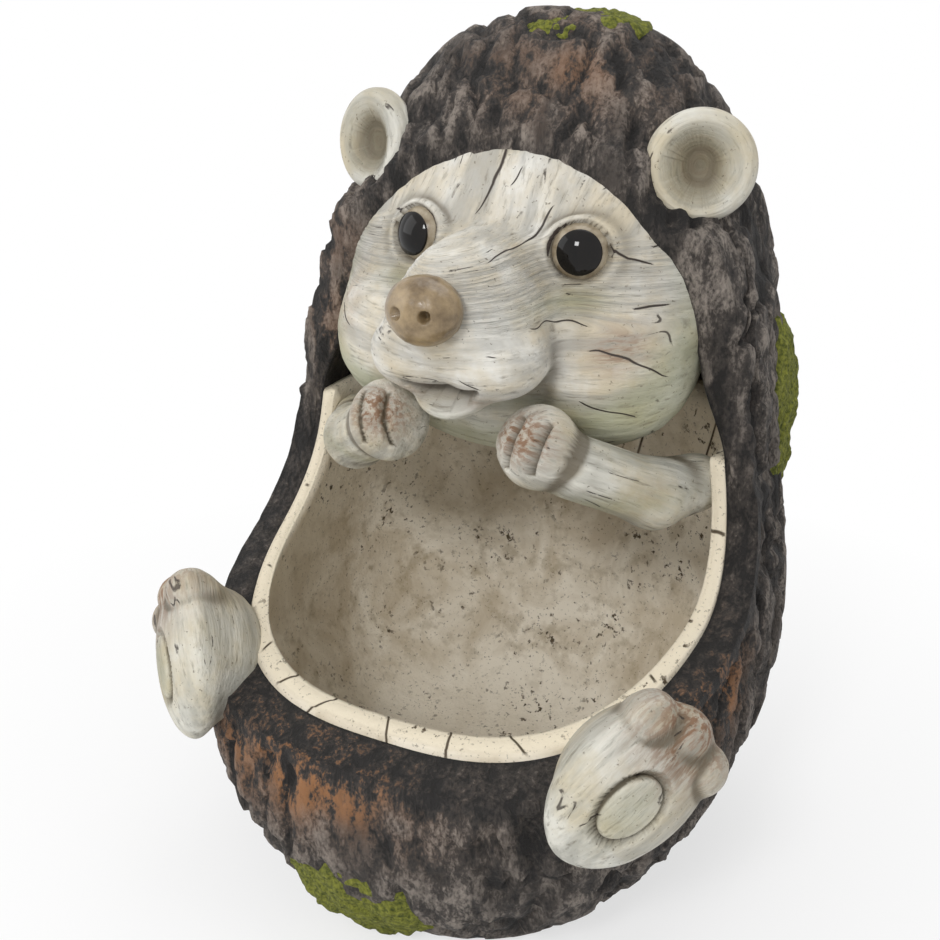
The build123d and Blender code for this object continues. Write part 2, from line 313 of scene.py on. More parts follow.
def reach(form: Form, centre: Array, rays: Array, furthest: float, looks: int = 44) -> Array:
    """How far each ray goes before it leaves a form for good: the last look inside, then halving.

    Args:
        form: distance function, negative inside.
        centre: where the rays start.
        rays: unit directions.
        furthest: a distance outside the form.
        looks: how many places a ray is looked at.

    Returns:
        A distance a ray.
    """
    low = np.zeros(rays.shape[:-1])
    step = furthest / looks
    for look in range(1, looks):
        inside = form(centre + rays * (look * step)) < 0.0
        low = np.where(inside, look * step, low)
    high = low + step
    for _ in range(RAY_HALVINGS):
        middle = (low + high) / 2.0
        inside = form(centre + rays * middle[..., None]) < 0.0
        low, high = np.where(inside, middle, low), np.where(inside, high, middle)
    return (low + high) / 2.0


def hollows(values: Array, spread: int) -> Array:
    """How far each place of a grid lies below the mean of its neighbours.

    Args:
        values: a grid that closes on itself along its second side.
        spread: how far off the neighbours are.

    Returns:
        Positive in hollows, negative on crests.
    """
    padded = np.pad(values, ((spread, spread), (0, 0)), mode="edge")
    rows = values.shape[0]
    before, after = np.roll(values, spread, 1), np.roll(values, -spread, 1)
    mean = (padded[:rows] + padded[2 * spread :] + before + after) / 4.0
    return mean - values


def closed_mesh(name: str, rows: Array, marks: dict[str, Array]) -> bpy.types.Object:
    """A closed mesh of a grid of places: four-sided faces between rows, and a fan to each end row's mean.

    Args:
        name: the piece's name.
        rows: places in mm in the drawing frame, (rows, segments, 3).
        marks: values to keep at the vertices, (rows, segments) or (rows, segments, 3) each.

    Returns:
        The piece, at the origin.
    """
    count, segments = rows.shape[:2]
    flat = np.concatenate([rows.reshape(-1, 3), rows[0].mean(0)[None], rows[-1].mean(0)[None]])
    index = np.arange(count * segments).reshape(count, segments)
    ahead = np.roll(index, -1, 1)
    quads = np.stack([index[:-1], index[1:], ahead[1:], ahead[:-1]], -1).reshape(-1, 4)
    first, last = count * segments, count * segments + 1
    fan = np.stack([np.full(segments, first), index[0], ahead[0]], -1)
    end = np.stack([np.full(segments, last), ahead[-1], index[-1]], -1)
    corners = flat[quads]
    volume = np.einsum("ij,ij->i", corners[:, 0], np.cross(corners[:, 1], corners[:, 2])).sum()
    volume += np.einsum("ij,ij->i", corners[:, 0], np.cross(corners[:, 2], corners[:, 3])).sum()
    if volume < 0.0:
        quads, fan, end = quads[:, ::-1], fan[:, ::-1], end[:, ::-1]
    placed = flat * MM
    placed[:, 1] -= SHIFT
    mesh = bpy.data.meshes.new(name)
    mesh.from_pydata(placed.tolist(), [], quads.tolist() + fan.tolist() + end.tolist())
    mesh.polygons.foreach_set("use_smooth", np.ones(len(mesh.polygons), dtype=bool))
    for mark, values in marks.items():
        ends = [values[0].mean(0)[None], values[-1].mean(0)[None]]
        kept = np.concatenate([values.reshape(-1, *values.shape[2:]), *ends]).astype(np.float32)
        kind, key = ("FLOAT_VECTOR", "vector") if kept.ndim > 1 else ("FLOAT", "value")
        mesh.attributes.new(mark, kind, "POINT").data.foreach_set(key, kept.reshape(-1))
    mesh.update()
    piece = bpy.data.objects.new(name, mesh)
    bpy.context.scene.collection.objects.link(piece)
    return piece


def settle(piece: bpy.types.Object, material: bpy.types.Material, node: str) -> None:
    """Dress a piece, let it ride on the planter and stand for its node."""
    piece.data.materials.append(material)
    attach(piece, Body.PLANTER.value)
    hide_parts(node)
    LOG.info("%s: %d faces", piece.name, len(piece.data.polygons))


# ---- Materials ----


class Nodes:
    """A node tree being put together."""

    def __init__(self, tree: bpy.types.NodeTree) -> None:
        """Take the tree up."""
        self.tree = tree

    def join(self, source: object, socket: Socket) -> None:
        """Link a source to a socket, or set the socket to a plain value."""
        if isinstance(source, Socket):
            self.tree.links.new(source, socket)
        else:
            socket.default_value = source

    def node(self, kind: str, inputs: dict) -> bpy.types.Node:
        """Add a node.

        Args:
            kind: its type, without the words ShaderNode.
            inputs: a source or a plain value for the name or number of each input.

        Returns:
            The node.
        """
        node = self.tree.nodes.new("ShaderNode" + kind)
        for name, source in inputs.items():
            self.join(source, node.inputs[name])
        return node

    def combine(self, kind: str, one: object, two: object = 0.0) -> Socket:
        """Bring values together by a Math node.

        Args:
            kind: its operation, such as MAXIMUM.
            one: the first source or plain value.
            two: the second.

        Returns:
            The result.
        """
        node = self.node("Math", {0: one, 1: two})
        node.operation = kind
        return node.outputs["Value"]

    def times(self, one: object, two: object) -> Socket:
        """One value times another."""
        return self.combine("MULTIPLY", one, two)

    def plus(self, one: object, two: object) -> Socket:
        """One value and another."""
        return self.combine("ADD", one, two)

    def less(self, one: object, two: object) -> Socket:
        """One value less another."""
        return self.combine("SUBTRACT", one, two)

    def show(self, share: Socket, one: bpy.types.Node, two: bpy.types.Node, output: str) -> None:
        """Show a mix of two shaders at the named output."""
        mix = self.node("MixShader", {0: share, 1: one.outputs[0], 2: two.outputs[0]})
        self.join(mix.outputs[0], self.tree.nodes[output].inputs["Surface"])


class Shade(Nodes):
    """A material being put together from nodes."""

    def __init__(self, name: str) -> None:
        """Start a material with its shader."""
        self.material = bpy.data.materials.new(name)
        self.material.use_nodes = True
        super().__init__(self.material.node_tree)
        self.shader = self.tree.nodes["Principled BSDF"]

    def places(self, stretch: tuple) -> Socket:
        """Object coordinates, stretched along each axis."""
        places = self.node("TexCoord", {}).outputs["Object"]
        return self.node("Mapping", {"Vector": places, "Scale": stretch}).outputs["Vector"]

    def layers(self, places: Socket, scale: float, detail: float, distortion: float = 0.0) -> Socket:
        """Layered noise from 0 to 1 on given places, scale cells a metre."""
        inputs = {"Vector": places, "Scale": scale, "Detail": detail, "Roughness": NOISE_ROUGHNESS}
        return self.node("TexNoise", {**inputs, "Distortion": distortion}).outputs["Fac"]

    def cloud(
        self, scale: float, stretch: tuple = EVEN, detail: float = 6.0, distortion: float = 0.0
    ) -> Socket:
        """Layered noise from 0 to 1 on Object coordinates, scale cells a metre."""
        return self.layers(self.places(stretch), scale, detail, distortion)

    def attribute(self, name: str) -> bpy.types.Node:
        """The node that reads an attribute of the piece's vertices."""
        node = self.node("Attribute", {})
        node.attribute_name = name
        return node

    def strokes(self, scale: float, detail: float) -> Socket:
        """Layered noise on the piece's grain places, which draw it out along the carved grain."""
        return self.layers(self.attribute("grain").outputs["Vector"], scale, detail)

    def cells(self, scale: float, stretch: tuple) -> Socket:
        """Distance to scattered points, scale points a metre."""
        return self.node("TexVoronoi", {"Vector": self.places(stretch), "Scale": scale}).outputs["Distance"]

    def mark(self, name: str) -> Socket:
        """A value kept at the piece's vertices."""
        return self.attribute(name).outputs["Fac"]

    def between(self, value: object, low: float, high: float) -> Socket:
        """A value brought from low..high to 0..1 and held there."""
        return self.node("MapRange", {"Value": value, "From Min": low, "From Max": high}).outputs["Result"]

    def crack_line(self) -> Socket:
        """One on a crack: near it, where its signed distance over its width is small."""
        thin = self.between(self.combine("ABSOLUTE", self.mark("off")), 1.0, 0.4)
        return self.times(self.mark("near"), thin)

    def blend(self, share: object, one: object, two: object) -> Socket:
        """A colour between two colours.

        Args:
            share: how far towards the second.
            one: a source, or a colour's three parts.
            two: the same.

        Returns:
            The colour.
        """
        node = self.node("Mix", {})
        node.data_type = "RGBA"
        self.join(share, node.inputs["Factor"])
        for source, socket in ((one, node.inputs[6]), (two, node.inputs[7])):
            self.join(source if isinstance(source, Socket) else (*source, 1.0), socket)
        return node.outputs[2]

    def finish(self, colour: Socket, roughness: float, height: Socket, bump: tuple) -> bpy.types.Material:
        """Dress the shader.

        Args:
            colour: its colour.
            roughness: its roughness.
            height: how high the surface stands.
            bump: the depth in metres that a height of one stands for, and the strength.

        Returns:
            The material.
        """
        self.join(colour, self.shader.inputs["Base Color"])
        self.shader.inputs["Roughness"].default_value = roughness
        raised = self.node("Bump", {"Height": height, "Distance": bump[0], "Strength": bump[1]})
        self.join(raised.outputs["Normal"], self.shader.inputs["Normal"])
        return self.material


@dataclass(frozen=True)
class BarkFinish:
    """Rough painted bark: painted shade near black in furrows, grey-brown on plates, painted highlights in
    patches on the crests, rust where worn.
    """

    furrow: tuple = (0.010, 0.008, 0.007)
    plate: tuple = (0.075, 0.062, 0.053)
    crest_highlight: tuple = (0.33, 0.285, 0.245)
    rust: tuple = (0.38, 0.175, 0.07)
    roughness: float = 0.74
    bump: tuple = (0.0055, 1.0)

    def make(self) -> bpy.types.Material:
        """Build the material: painted shade in furrows, plate, painted highlight on crests and rust by the
        height that relief and noise add up to.
        """
        shade = Shade("bark")
        coarse = shade.cloud(34.0, (1.0, 1.0, 0.45), 9.0, 0.6)
        fine = shade.cloud(150.0, (1.0, 1.0, 0.42), 9.0, 0.8)
        grit = shade.cloud(520.0, (1.0, 1.0, 0.6), 6.0, 0.3)
        flakes = shade.cells(120.0, (1.0, 1.0, 0.4))
        rough = shade.plus(shade.less(fine, 0.5), shade.times(shade.less(grit, 0.5), 1.1))
        rough = shade.less(rough, shade.times(shade.between(flakes, 0.42, 0.85), 0.28))
        high = shade.plus(shade.mark("relief"), shade.times(rough, 1.5))
        # Painted shade: the low places of the relief, the furrows, go near black.
        colour = shade.blend(shade.between(high, 0.16, 0.72), self.furrow, self.plate)
        # Painted highlight: the highest crests go lighter, in patches of coarse noise.
        worn = shade.times(shade.between(high, 0.66, 1.10), shade.between(coarse, 0.34, 0.56))
        colour = shade.blend(worn, colour, self.crest_highlight)
        rusty = shade.times(shade.mark("rust"), shade.between(high, 0.46, 0.80))
        colour = shade.blend(rusty, colour, self.rust)
        lifted = shade.plus(shade.times(fine, 1.6), shade.times(grit, 0.5))
        return shade.finish(colour, self.roughness, shade.less(lifted, shade.times(flakes, 0.5)), self.bump)


@dataclass(frozen=True)
class CarvedFinish:
    """Cream paint over carved wood grain, with painted shade in its hollows, cracks and a tint."""

    cream: tuple = (0.60, 0.53, 0.40)
    pale: tuple = (0.74, 0.72, 0.66)
    grey: tuple = (0.34, 0.335, 0.31)
    grime_and_shade: tuple = (0.11, 0.088, 0.055)
    crack: tuple = (0.028, 0.017, 0.011)
    blush: tuple = (0.22, 0.125, 0.07)
    moss: tuple = (0.27, 0.285, 0.12)
    roughness: float = 0.6
    bump: tuple = (0.0018, 0.8)

    def make(self) -> bpy.types.Material:
        """Build the material. Hairline cracks are where broad strokes of noise pass their middle value."""
        shade = Shade("carved")
        broad, fine = shade.strokes(85.0, 4.0), shade.strokes(360.0, 7.0)
        colour = shade.blend(shade.between(shade.cloud(24.0, detail=5.0), 0.40, 0.60), self.cream, self.pale)
        colour = shade.blend(shade.times(shade.between(broad, 0.58, 0.38), 0.65), colour, self.grey)
        colour = shade.blend(shade.times(shade.mark("green"), 0.6), colour, self.moss)
        worn = shade.times(shade.mark("blush"), shade.between(fine, 0.34, 0.56))
        colour = shade.blend(worn, colour, self.blush)
        colour = shade.blend(shade.times(shade.between(fine, 0.45, 0.28), 0.62), colour, self.grime_and_shade)
        specks = shade.times(shade.between(shade.cloud(430.0, detail=2.0), 0.66, 0.73), 0.7)
        colour = shade.blend(specks, colour, self.grime_and_shade)
        # Painted shade: darker in the hollows, round the eyes, in the mouth and in the ear dishes.
        colour = shade.blend(shade.mark("painted_shade"), colour, self.grime_and_shade)
        middle = shade.combine("ABSOLUTE", shade.less(shade.strokes(42.0, 2.0), 0.5))
        hair = shade.times(shade.between(middle, 0.0075, 0.003), shade.between(shade.cloud(52.0), 0.57, 0.61))
        line = shade.combine("MAXIMUM", shade.crack_line(), shade.times(hair, 0.85))
        colour = shade.blend(line, colour, self.crack)
        lifted = shade.plus(shade.times(broad, 1.5), shade.times(fine, 0.7))
        return shade.finish(colour, self.roughness, shade.less(lifted, line), self.bump)


@dataclass(frozen=True)
class BowlFinish:
    """Weathered cream inside the bowl, with dark specks, a paler rim and painted light on its floor."""

    inside: tuple = (0.56, 0.48, 0.36)
    light: tuple = (0.80, 0.74, 0.63)
    speck: tuple = (0.075, 0.052, 0.026)
    rim: tuple = (0.74, 0.66, 0.51)
    stain: tuple = (0.30, 0.23, 0.13)
    roughness: float = 0.68
    bump: tuple = (0.0016, 0.8)

    def make(self) -> bpy.types.Material:
        """Build the material: cloudy cream, stains, painted light on the floor, a lighter rim, then specks
        and cracks.
        """
        shade = Shade("bowl")
        cloudy = shade.cloud(20.0, EVEN, 8.0, 0.8)
        colour = shade.blend(shade.between(cloudy, 0.38, 0.60), self.inside, self.light)
        stained = shade.times(shade.between(shade.cloud(65.0), 0.52, 0.66), 0.5)
        colour = shade.blend(stained, colour, self.stain)
        # Painted light: the floor of the bowl goes lighter, as if lit from above.
        colour = shade.blend(shade.times(shade.mark("floor"), 0.7), colour, self.light)
        colour = shade.blend(shade.mark("rim"), colour, self.rim)
        specks = shade.between(shade.cloud(190.0, detail=3.0), 0.60, 0.66)
        specks = shade.times(specks, shade.between(shade.cloud(20.0), 0.46, 0.58))
        fine = shade.times(shade.between(shade.cloud(480.0, detail=2.0), 0.62, 0.70), 0.55)
        colour = shade.blend(shade.combine("MAXIMUM", specks, fine), colour, self.speck)
        line = shade.crack_line()
        colour = shade.blend(line, colour, self.speck)
        return shade.finish(
            colour, self.roughness, shade.less(shade.cloud(130.0), shade.times(line, 1.2)), self.bump
        )


@dataclass(frozen=True)
class PlainFinish:
    """A finish of two tones with a fine grain."""

    name: str
    dark: tuple
    light: tuple
    roughness: float
    scale: float
    grain: float
    coat: float = 0.0
    specular: float = 0.5
    strength: float = 0.8

    def make(self) -> bpy.types.Material:
        """Build the material: the two tones and the grain follow one cloud of noise."""
        shade = Shade(self.name)
        shade.shader.inputs["Specular IOR Level"].default_value = self.specular
        shade.shader.inputs["Coat Weight"].default_value = self.coat
        cloudy = shade.cloud(self.scale)
        colour = shade.blend(shade.between(cloudy, 0.35, 0.65), self.dark, self.light)
        return shade.finish(colour, self.roughness, cloudy, (self.grain, self.strength))


NOSE_FINISH = PlainFinish("nose", (0.13, 0.085, 0.04), (0.33, 0.24, 0.13), 0.36, 85.0, 0.0012, 0.25)
EYE_FINISH = PlainFinish("eyeball", (0.20, 0.15, 0.09), (0.44, 0.38, 0.28), 0.30, 120.0, 0.0002)
PUPIL_FINISH = PlainFinish("pupil", (0.003, 0.003, 0.003), (0.008, 0.006, 0.005), 0.05, 90.0, 0.0, 0.0, 0.26)
MOSS_FINISH = PlainFinish("moss", (0.055, 0.070, 0.008), (0.27, 0.28, 0.04), 0.95, 420.0, 0.0045)
STOPPER_FINISH = PlainFinish("stopper", (0.022, 0.021, 0.020), (0.05, 0.048, 0.045), 0.8, 150.0, 0.0006)


# ---- The egg's body and the castings cut from it ----


@dataclass
class EggBody:
    """The leaning egg: level outlines, each a superellipse with its own front and back depth."""

    height: float = 503.0
    width: float = 328.0
    depth: float = EGG_DEPTH
    lean: float = 11.1
    middle: float = 0.065
    heights: tuple = (0.0, 0.10, 0.25, 0.48, 0.70, 0.87, 0.978)
    widths: tuple = (0.605, 0.87, 0.997, 0.93, 0.82, 0.605, 0.29)
    fronts: tuple = (-0.278, -0.380, -0.360, -0.210, -0.055, 0.162, 0.262)
    backs: tuple = (0.364, 0.470, 0.560, 0.624, 0.605, 0.500, 0.385)
    squareness: tuple = (2.35, 2.5, 2.8, 2.4, 2.5, 2.6, 2.4)
    top: float = 491.0
    crown_corner: float = 26.0
    least: float = 4.0
    table_rows: int = 241

    def __post_init__(self) -> None:
        """Work the tables out at many heights, by a cubic between rows with slopes from their neighbours."""
        rows = np.array(self.heights)
        self.shares = np.linspace(0.0, rows[-1], self.table_rows)
        above = np.clip(np.searchsorted(rows, self.shares, side="left"), 1, len(rows) - 1)
        span = rows[above] - rows[above - 1]
        part = (self.shares - rows[above - 1]) / span
        rest = 1.0 - part
        self.curves = {}
        for name in ("widths", "fronts", "backs", "squareness"):
            table = np.array(getattr(self, name))
            low = np.maximum(np.arange(len(rows)) - 1, 0)
            high = np.minimum(np.arange(len(rows)) + 1, len(rows) - 1)
            slope = (table[high] - table[low]) / (rows[high] - rows[low])
            ends = table[above - 1] * rest**2 * (1 + 2 * part) + table[above] * part**2 * (1 + 2 * rest)
            bend = slope[above - 1] * part * rest**2 - slope[above] * part**2 * rest
            self.curves[name] = ends + span * bend

    def form(self, inset: float = 0.0, floor: float = 0.0, corner: float = 4.0) -> Form:
        """The body drawn in by an inset, on a floor.

        A place is inside where (across / half width)^n + (along / depth)^n is under 1, above the floor and
        below the top.

        Args:
            inset: how far the outlines are drawn in.
            floor: height of the floor.
            corner: rounding between wall and floor.

        Returns:
            A distance function.
        """

        def distance(points: Array) -> Array:
            """Distance to the body, from its outline at the place's height.

            Args:
                points: places in mm.

            Returns:
                Distance in mm, negative inside.
            """
            share = points[..., 2] / (self.height - inset)
            curve = {name: np.interp(share, self.shares, values) for name, values in self.curves.items()}
            middle = self.middle * self.depth + share * self.height * math.tan(math.radians(self.lean))
            half = np.maximum(curve["widths"] * self.width / 2 - inset, self.least)
            front = np.maximum(middle - curve["fronts"] * self.depth - inset, self.least)
            back = np.maximum(curve["backs"] * self.depth - middle - inset, self.least)
            along = points[..., 1] - middle
            depth = np.where(along > 0, back, front)
            power = curve["squareness"]
            size = (np.abs(points[..., 0] / half) ** power + np.abs(along / depth) ** power) ** (1.0 / power)
            wall = (size - 1.0) * np.minimum(half, depth)
            wall = smooth_max(wall, floor - points[..., 2], corner)
            return smooth_max(wall, points[..., 2] - (self.top - inset), self.crown_corner)

        return distance


@dataclass
class Opening:
    """What is open in front: above the rim, before the cowl and under the hood."""

    rim_height: float = 133.0
    rim_reach: float = 104.0
    rim_slope: float = 23.8
    cowl: float = 48.0
    cowl_height: float = 200.0
    hood: float = 58.0
    hood_height: float = 437.0
    hood_arch: float = 0.0042
    hood_slope: float = 12.0
    hood_scale: float = 0.94
    shoulder: float = 45.0
    corner: float = 14.0

    def distance(self, points: Array, lowered: float) -> Array:
        """Negative where the casting is taken away: the rounded greatest of the rim, cowl and hood planes.

        Args:
            points: places in mm.
            lowered: how far the rim lies below its drawn height.

        Returns:
            Distance in mm.
        """
        y, z = points[..., 1], points[..., 2]
        slope = math.radians(self.rim_slope)
        rim = (self.rim_height - lowered + (y + self.rim_reach) * math.tan(slope) - z) * math.cos(slope)
        lean = (self.hood - self.cowl) / (self.hood_height - self.cowl_height)
        cowl = y - (self.cowl + (z - self.cowl_height) * lean)
        arch = self.hood_height - self.hood_arch * points[..., 0] ** 2
        hood = (z - arch - (self.hood - y) * math.tan(math.radians(self.hood_slope))) * self.hood_scale
        return smooth_max(smooth_max(rim, cowl, self.shoulder), hood, self.corner)


@dataclass
class Casting:
    """A wall between two forms, open where a cut takes it away."""

    outside: Form
    inside: Form
    cut: Form
    centre: tuple
    axis: tuple
    rings: int
    segments: int
    hood_roll: float = 0.0
    edge_rows: int = 8
    inner_share: int = 8
    furthest: float = 420.0
    looks: int = 30
    first_tilt: float = 0.02
    last_gap: float = 0.05
    roll: float = 2.2
    roll_from: float = 240.0
    roll_over: float = 60.0
    roundness: float = 0.6
    edge_back: float = 1.6

    def skin(self, form: Form, rings: int) -> tuple[Array, Array]:
        """A grid over a form from the edge of the cut to the far pole.

        The edge's angle from the axis is found by halving on each meridian, and the rings share out the
        rest evenly.

        Args:
            form: the form that the skin lies on.
            rings: rows from the edge to near the pole.

        Returns:
            Directions and distances.
        """
        pole, ring = circle(self.axis, self.segments)
        centre = np.array(self.centre)
        low, high = np.full(self.segments, self.first_tilt), np.full(self.segments, math.pi - self.last_gap)
        for _ in range(EDGE_HALVINGS):
            middle = (low + high) / 2.0
            rays = tilted(pole, ring, middle)
            far = reach(form, centre, rays, self.furthest, self.looks)
            removed = self.cut(centre + rays * far[:, None]) < 0.0
            low, high = np.where(removed, middle, low), np.where(removed, high, middle)
        share = (np.arange(rings) / rings)[:, None]
        rays = tilted(pole, ring, high[None] + (math.pi - high[None]) * share)
        return rays, reach(form, centre, rays, self.furthest, self.looks)

    def rows(self, relief: Form | None) -> tuple[Array, Array]:
        """The whole closed skin: outside from pole to edge, a rounded edge, and inside from edge to pole.

        The edge goes straight from outside to inside, and stands out by a power of the sine of its share.

        Args:
            relief: how far each place of the outside lies below its form, or None.

        Returns:
            Places, and for each row its kind: 0 outside, 1 edge, 2 inside.
        """
        centre = np.array(self.centre)
        rays, far = self.skin(self.outside, self.rings)
        outer = centre + rays * far[..., None]
        if relief is not None:
            outer = centre + rays * (far - relief(outer))[..., None]
        rays, far = self.skin(self.inside, self.rings // self.inner_share)
        inner = centre + rays * far[..., None]
        share = (np.arange(1, self.edge_rows + 1) / (self.edge_rows + 1))[:, None, None]
        edge = outer[0] * (1 - share) + inner[0] * share
        inward = np.mean([outer[2], inner[1]], axis=0) - (outer[0] + inner[0]) / 2
        inward /= np.linalg.norm(inward, axis=-1, keepdims=True)
        roll = self.roll + self.hood_roll * ease((edge[..., 2:] - self.roll_from) / self.roll_over)
        edge = edge - inward * roll * np.sin(math.pi * share) ** self.roundness + inward * self.edge_back
        rows = np.concatenate([outer[::-1], edge, inner])
        kind = np.concatenate([np.zeros(len(outer)), np.ones(len(edge)), np.full(len(inner), 2.0)])
        return rows, kind


EGG = EggBody()
OPENING = Opening()


@dataclass
class BarkShell:
    """The bark casting: plates that run up it, broken across, between deep furrows."""

    centre: tuple = (0.0, 70.0, 230.0)
    axis: tuple = (0.0, -1.0, 0.30)
    rings: int = 204
    segments: int = 412
    wall: float = 16.0
    rim_lowered: float = 3.0
    hood_wall: float = 23.0
    thick_from: float = 262.0
    thick_over: float = 45.0
    hood_roll: float = 3.0
    furrow_depth: float = 11.5
    lift: float = 1.4
    plate_size: float = 18.0
    warp_size: float = 40.0
    warp_reach: float = 16.0
    band_from: float = 2.0
    band_over: float = 13.0
    least_rough: float = 0.12
    smooth_height: float = 0.44
    inner_height: float = 0.4
    base_height: float = 14.0
    seat_depth: float = 15.0
    seat_centre: tuple = (104, 60, 417)
    seat_widths: tuple = (24, 34, 26)
    rust_spots: tuple = (
        (1.6, (-52, -140, 112), (66, 60, 26)), (1.1, (152, -30, 160), (26, 40, 34)),
        (0.4, (20, 80, 462), (50, 36, 26)), (0.3, (-120, 40, 330), (26, 40, 50)),
    )

    def height(self, points: Array) -> Array:
        """Bark height from 0 in furrows to 1 on plates.

        Noise without its sign, nought along the furrows, stretched up the casting and warped by coarser
        noise, with finer noise of the same kind and a wide one that breaks the plates across.

        Args:
            points: places in mm.

        Returns:
            One value a place.
        """
        warp = [layered(points, self.warp_size, seed, 4) for seed in (3, 11, 19)]
        bent = points + np.stack(warp, axis=-1) * self.warp_reach
        tall = layered(bent * np.array([1.0, 1.0, 0.20]), self.plate_size, 31, 2)
        furrows = np.clip(np.abs(tall) * 3.6, 0.0, 1.0)
        narrow = np.clip(np.abs(noise(bent * np.array([1.0, 1.0, 0.34]), 9.0, 43)) * 3.2, 0.0, 1.0)
        wide = layered(bent * np.array([0.45, 0.45, 1.0]), self.plate_size, 47, 2)
        breaks = np.clip(np.abs(wide) * 4.5, 0.0, 1.0)
        rough = layered(points * np.array([1.0, 1.0, 0.6]), 8.0, 59, 2)
        mixed = 0.66 * furrows**0.8 + 0.18 * narrow + 0.14 * breaks + 0.24 * rough
        return np.clip(mixed + 0.02, 0.0, 1.0)

    def calm(self, points: Array) -> Array:
        """How rough the bark is: little in the smooth band along the rim, fully elsewhere."""
        band = ease((OPENING.distance(points, self.rim_lowered) - self.band_from) / self.band_over)
        return np.clip(np.maximum(band, ease((points[..., 2] - 235.0) / 30.0)), self.least_rough, 1.0)

    def seat(self, points: Array) -> Array:
        """How far the hood is drawn in behind the ears, so that it stays clear of their dishes."""
        return self.seat_depth * bell(two_sided(points), self.seat_centre, self.seat_widths)

    def relief(self, points: Array) -> Array:
        """How far the bark lies below the casting's form.

        Args:
            points: places in mm.

        Returns:
            Depth in mm: none at the base, and up to the furrow's depth, less the lift, elsewhere.
        """
        firm = np.clip(points[..., 2] / self.base_height, 0.0, 1.0)
        cut = self.furrow_depth * (1.0 - self.height(points)) * self.calm(points)
        return firm * (cut - self.lift) + self.seat(points)

    def rust(self, points: Array) -> Array:
        """Where the bark is worn to rust: below the rim in front, on both flanks and over the hood."""
        broken = 0.8 + 1.1 * layered(points, 20.0, 71, 3)
        return np.clip(spots(points, self.rust_spots) * broken, 0.0, 1.0)

    def build(self) -> None:
        """Make the piece. Its wall is thicker in the cowl and hood than round the bowl."""
        thin, thick = EGG.form(self.wall, self.wall), EGG.form(self.hood_wall, self.wall)

        def inside(points: Array) -> Array:
            """The inner form, which goes over from the thin wall to the thick one."""
            share = ease((points[..., 2] - self.thick_from) / self.thick_over)
            return thin(points) * (1.0 - share) + thick(points) * share

        casting = Casting(
            EGG.form(), inside, lambda points: OPENING.distance(points, self.rim_lowered),
            self.centre, self.axis, self.rings, self.segments, self.hood_roll,
        )
        rows, kind = casting.rows(self.relief)
        rows[..., 2] = np.maximum(rows[..., 2], 0.0)
        calm = self.calm(rows)
        height = self.height(rows) * calm + self.smooth_height * (1.0 - calm)
        height[kind == 2.0] *= self.inner_height
        marks = {"relief": height, "rust": self.rust(rows) * (kind < 2.0)[:, None]}
        settle(closed_mesh("bark", rows, marks), BarkFinish().make(), "bark_shell")


@dataclass
class BellyBowl:
    """The cream bowl: a thin even wall, a flat floor and a pale rim with short dark cracks across it.

    The cracks are angles round the rim, and each slants by an angle from the outside to the inside.
    """

    centre: tuple = (0.0, 35.0, 150.0)
    axis: tuple = (0.0, -0.55, 0.84)
    rings: int = 160
    segments: int = 480
    gap: float = 16.3
    wall: float = 7.5
    floor: float = 16.0
    floor_corner: float = 26.0
    ceiling: float = 262.0
    cracks: tuple = (
        0.34, 0.60, 1.02, 1.31, 1.80, 2.22, 2.95, 3.42, 3.90, 4.13, 4.37, 4.71, 5.02, 5.31, 5.93,
    )
    crack_slants: tuple = (
        0.02, -0.03, 0.01, 0.04, -0.02, 0.03, -0.01, 0.03, -0.04, 0.02, 0.05, -0.03, 0.01, -0.04, 0.02,
    )
    crack_width: float = 0.007

    def build(self) -> None:
        """Make the piece."""

        def cut(points: Array) -> Array:
            """Negative where the bowl is taken away: at the opening, and over the ceiling."""
            return np.minimum(OPENING.distance(points, 0.0), self.ceiling - points[..., 2])

        inner = EGG.form(self.gap + self.wall, self.floor + self.wall, self.floor_corner)
        casting = Casting(
            EGG.form(self.gap, self.floor), inner, cut, self.centre, self.axis, self.rings, self.segments
        )
        rows, kind = casting.rows(None)
        across = (np.arange(len(kind)) - np.argmax(kind == 1.0)) / casting.edge_rows - 0.5
        off, near = self.crack_lines(across)
        rim = np.repeat(np.clip(np.exp(-((across / 0.8) ** 2)) * 1.2, 0.0, 1.0)[:, None], self.segments, 1)
        # The floor mark is painted light: lighter towards the bottom of the bowl.
        marks = {"rim": rim, "off": off, "near": near, "floor": ease((60.0 - rows[..., 2]) / 34.0)}
        settle(closed_mesh("bowl", rows, marks), BowlFinish().make(), "belly_bowl")

    def crack_lines(self, across: Array) -> tuple[Array, Array]:
        """The rim's cracks: for each place the angle to the nearest one over its width, and how near it is.

        Args:
            across: how far each row is from the edge's middle, in edge widths.

        Returns:
            The two values, a row and a segment each.
        """
        angle = 2.0 * math.pi * np.arange(self.segments) / self.segments
        middle = np.array(self.cracks) + across[:, None] * np.array(self.crack_slants)
        apart = angle[None, :, None] - middle[:, None, :]
        nearest = np.abs(apart).argmin(-1)[..., None]
        off = np.take_along_axis(apart, nearest, -1)[..., 0] / self.crack_width
        length = 0.75 + 0.5 * np.sin(7.0 * nearest[..., 0])
        return off, ease((length - np.abs(across)[:, None]) / 0.3) * (np.abs(off) < 8.0)


# ---- The carved pieces: each a blend of rounded masses seen from a point inside it ----


